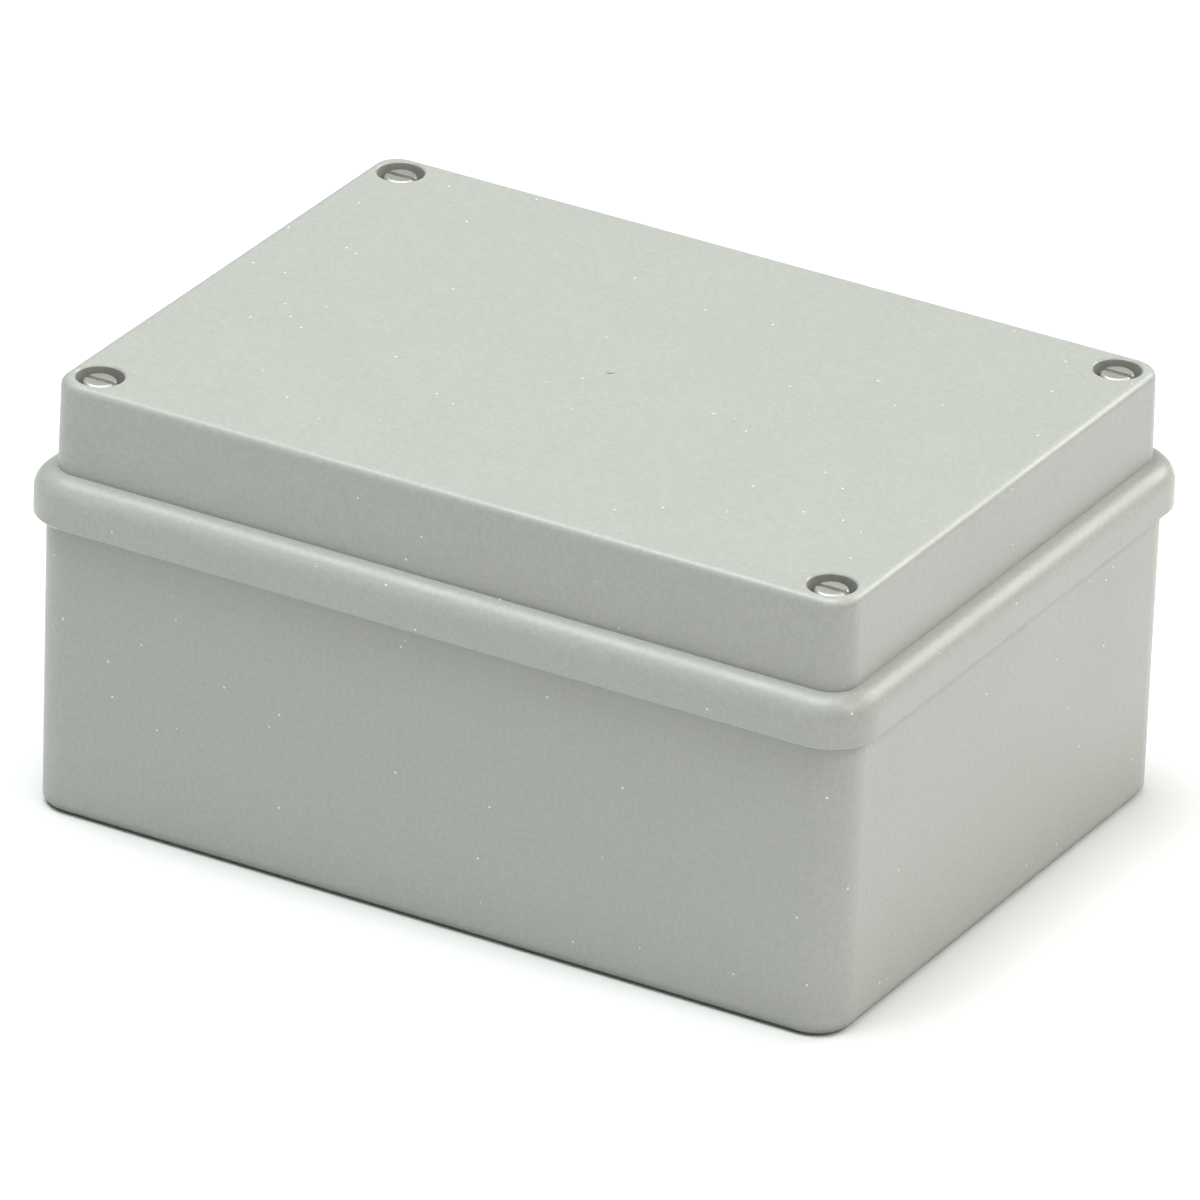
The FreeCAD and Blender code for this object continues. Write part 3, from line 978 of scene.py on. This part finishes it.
@dataclass
class MouldedShells:
    """The base, the lid and the fixing caps, which keep their CAD shapes."""

    base_finish: bpy.types.Material
    lid_finish: bpy.types.Material
    cap_finish: bpy.types.Material

    def build(self) -> list[bpy.types.Object]:
        """The CAD nodes that stay, shells first."""
        caps = [f"fixing_cap_{corner.value}" for corner in Corner]
        return [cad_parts[name] for name in ("base", "lid", *caps)]

    def dress(self, nodes: list[bpy.types.Object]) -> None:
        """Give each shell and cap its finish.

        Args:
            nodes: the CAD nodes.
        """
        finishes = {"base": self.base_finish, "lid": self.lid_finish}
        for node in nodes:
            finish = finishes.get(node.name, self.cap_finish)
            for slot in node.material_slots:
                slot.material = finish
            LOG.info("%s keeps its CAD shape", node.name)


# ---------------------------------------------------------------- studio


@dataclass(frozen=True)
class Softbox:
    """A square softbox that hangs at a place and is aimed at the box."""

    name: str
    place: tuple[float, float, float]
    side: float
    watts: float
    colour: str

    def build(self, target: Vector) -> None:
        """Hang the softbox.

        Args:
            target: the point that it is aimed at.
        """
        light = bpy.data.lights.new(self.name, "AREA")
        light.shape, light.size, light.energy = "SQUARE", self.side, self.watts
        light.color = linear_colour(self.colour)[:3]
        lamp = bpy.data.objects.new(self.name, light)
        lamp.location = self.place
        aim = target - Vector(self.place)
        lamp.rotation_euler = aim.to_track_quat("-Z", "Y").to_euler()
        bpy.context.scene.collection.objects.link(lamp)


@dataclass
class Studio:
    """A white floor under three softboxes, above, behind and to the right, in a dim surround."""

    softboxes: tuple[Softbox, ...] = (
        Softbox("overhead_softbox", (-0.22, -0.15, 1.35), side=1.0, watts=22.5, colour="#FAFFFF"),
        Softbox("back_softbox", (0.65, 1.25, 0.8), side=0.75, watts=11.0, colour="#FFFEFB"),
        Softbox("side_softbox", (1.2, -0.1, 1.3), side=0.5, watts=6.5, colour="#FFFDF8"),
    )
    floor_colour: str = "#F7F8F7"
    floor_half: float = 4.0
    fibre_mm: float = 2.0
    fibre_relief_mm: float = 0.01
    surround_colour: str = "#FFFCF6"
    surround_left: float = 0.10
    surround_right: float = 0.25
    target_height: float = 0.04

    def build(self) -> None:
        """Set up the floor, the lights and the surround."""
        self._floor()
        self._surround()
        for softbox in self.softboxes:
            softbox.build(Vector((0, 0, self.target_height)))

    def _floor(self) -> None:
        """Lay the pale floor."""
        half = self.floor_half
        corners = [(-half, -half, 0), (half, -half, 0), (half, half, 0), (-half, half, 0)]
        mesh = bpy.data.meshes.new("studio_floor")
        mesh.from_pydata(corners, [], [(0, 1, 2, 3)])
        mesh.materials.append(self._paper())
        floor = bpy.data.objects.new("studio_floor", mesh)
        bpy.context.scene.collection.objects.link(floor)

    def _paper(self) -> bpy.types.Material:
        """Build matt white background paper, which gives the eye an even pale ground.

        Returns:
            The material.
        """
        material, tree, where = new_tree("paper_matt_white")
        fibre = add_node(
            tree, "ShaderNodeTexNoise", {"Vector": where, "Scale": per_metre(self.fibre_mm)}
        )
        relief = add_node(
            tree,
            "ShaderNodeBump",
            {
                "Height": fibre.outputs["Fac"],
                "Strength": 0.05,
                "Distance": self.fibre_relief_mm * MM,
            },
        )
        finish_surface(
            tree,
            {
                "Base Color": linear_colour(self.floor_colour),
                "Roughness": 0.9,
                "Normal": relief.outputs["Normal"],
            },
        )
        return material

    def _surround(self) -> None:
        """Fill the shadows from all round, more from the right than from the left."""
        world = bpy.data.worlds.new("surround")
        world.use_nodes = True
        tree = world.node_tree
        heading = add_node(tree, "ShaderNodeTexCoord", {})
        sides = add_node(
            tree, "ShaderNodeSeparateXYZ", {"Vector": heading.outputs["Generated"]}
        )
        strength = add_node(
            tree,
            "ShaderNodeMapRange",
            {
                "Value": sides.outputs["X"],
                "From Min": -1.0,
                "To Min": self.surround_left,
                "To Max": self.surround_right,
            },
        )
        background = tree.nodes["Background"]
        background.inputs["Color"].default_value = linear_colour(self.surround_colour)
        tree.links.new(strength.outputs["Result"], background.inputs["Strength"])
        bpy.context.scene.world = world


@dataclass
class ProductCamera:
    """A long lens above the front right corner."""

    azimuth_deg: float = 29.166
    elevation_deg: float = 26.38
    roll_deg: float = 2.116
    distance: float = 2.5273
    lens_mm: float = 449.08
    aim_right: float = 0.00087
    aim_up: float = 0.03272
    sensor_mm: float = 36.0

    def build(self) -> None:
        """Place the camera and make it the scene's own."""
        angles = (self.azimuth_deg, self.elevation_deg, self.roll_deg)
        az, el, roll = (math.radians(angle) for angle in angles)
        back = Vector((math.sin(az) * math.cos(el), -math.cos(az) * math.cos(el), math.sin(el)))
        right = Vector((math.cos(az), math.sin(az), 0))
        up = back.cross(right)
        tilted_right = right * math.cos(roll) + up * math.sin(roll)
        tilted_up = up * math.cos(roll) - right * math.sin(roll)
        camera = bpy.data.cameras.new("camera")
        camera.sensor_width, camera.lens = self.sensor_mm, self.lens_mm
        camera.clip_start, camera.clip_end = 0.1, 50.0
        rig = bpy.data.objects.new("camera", camera)
        place = tilted_right * self.aim_right + tilted_up * self.aim_up + back * self.distance
        axes = Matrix((tilted_right, tilted_up, back)).transposed()
        rig.matrix_world = Matrix.Translation(place) @ axes.to_4x4()
        bpy.context.scene.collection.objects.link(rig)
        bpy.context.scene.camera = rig


# ---------------------------------------------------------------- the whole


@dataclass(frozen=True)
class CornerFinishes:
    """The finishes of the pieces in each corner."""

    steel: bpy.types.Material
    brass: bpy.types.Material
    rubber: bpy.types.Material
    nylon: bpy.types.Material


def build_corner(corner: Corner, finishes: CornerFinishes) -> None:
    """Build the screw, insert, seal and retainer of one corner.

    Args:
        corner: the corner.
        finishes: the finishes of its pieces.
    """
    parts = (
        LidScrew(corner, finishes.steel),
        ThreadedInsert(corner, finishes.brass),
        ShankRing(corner, finishes.rubber, "screw_seal", "seal_rubber", round_mm=0.45),
        ShankRing(
            corner,
            finishes.nylon,
            "screw_retainer",
            "nylon",
            round_mm=0.2,
            notches=6,
            notch_depth_mm=0.45,
        ),
    )
    for part in parts:
        part.dress(part.build())


def main() -> None:
    """Build the junction box's looks, its studio and its camera."""
    logging.basicConfig(level=logging.INFO, format="%(name)s: %(message)s")
    # the base gets deeper, wider painted shade in its joints and creases, such as under the lid's
    # skirt
    painted_joint_shade = SparkErodedThermoplastic(
        name="thermoplastic_spark_eroded_dusty_joint", painted_shade_mm=3.0, painted_shade_value=0.55
    )
    shells = MouldedShells(
        base_finish=painted_joint_shade.material(),
        lid_finish=SparkErodedThermoplastic().material(),
        cap_finish=GREY_POLYETHYLENE.material(),
    )
    shells.dress(shells.build())
    finishes = CornerFinishes(
        steel=ZincPlatedSteel().material(),
        brass=TurnedBrass().material(),
        rubber=NITRILE_RUBBER.material(),
        nylon=NATURAL_NYLON.material(),
    )
    for corner in Corner:
        build_corner(corner, finishes)
    gasket = FoamGasket(FoamedPolyurethane().material())
    gasket.dress(gasket.build())
    Studio().build()
    ProductCamera().build()
    bpy.context.scene.view_settings.view_transform = "Standard"


if __name__ == "__main__":
    main()
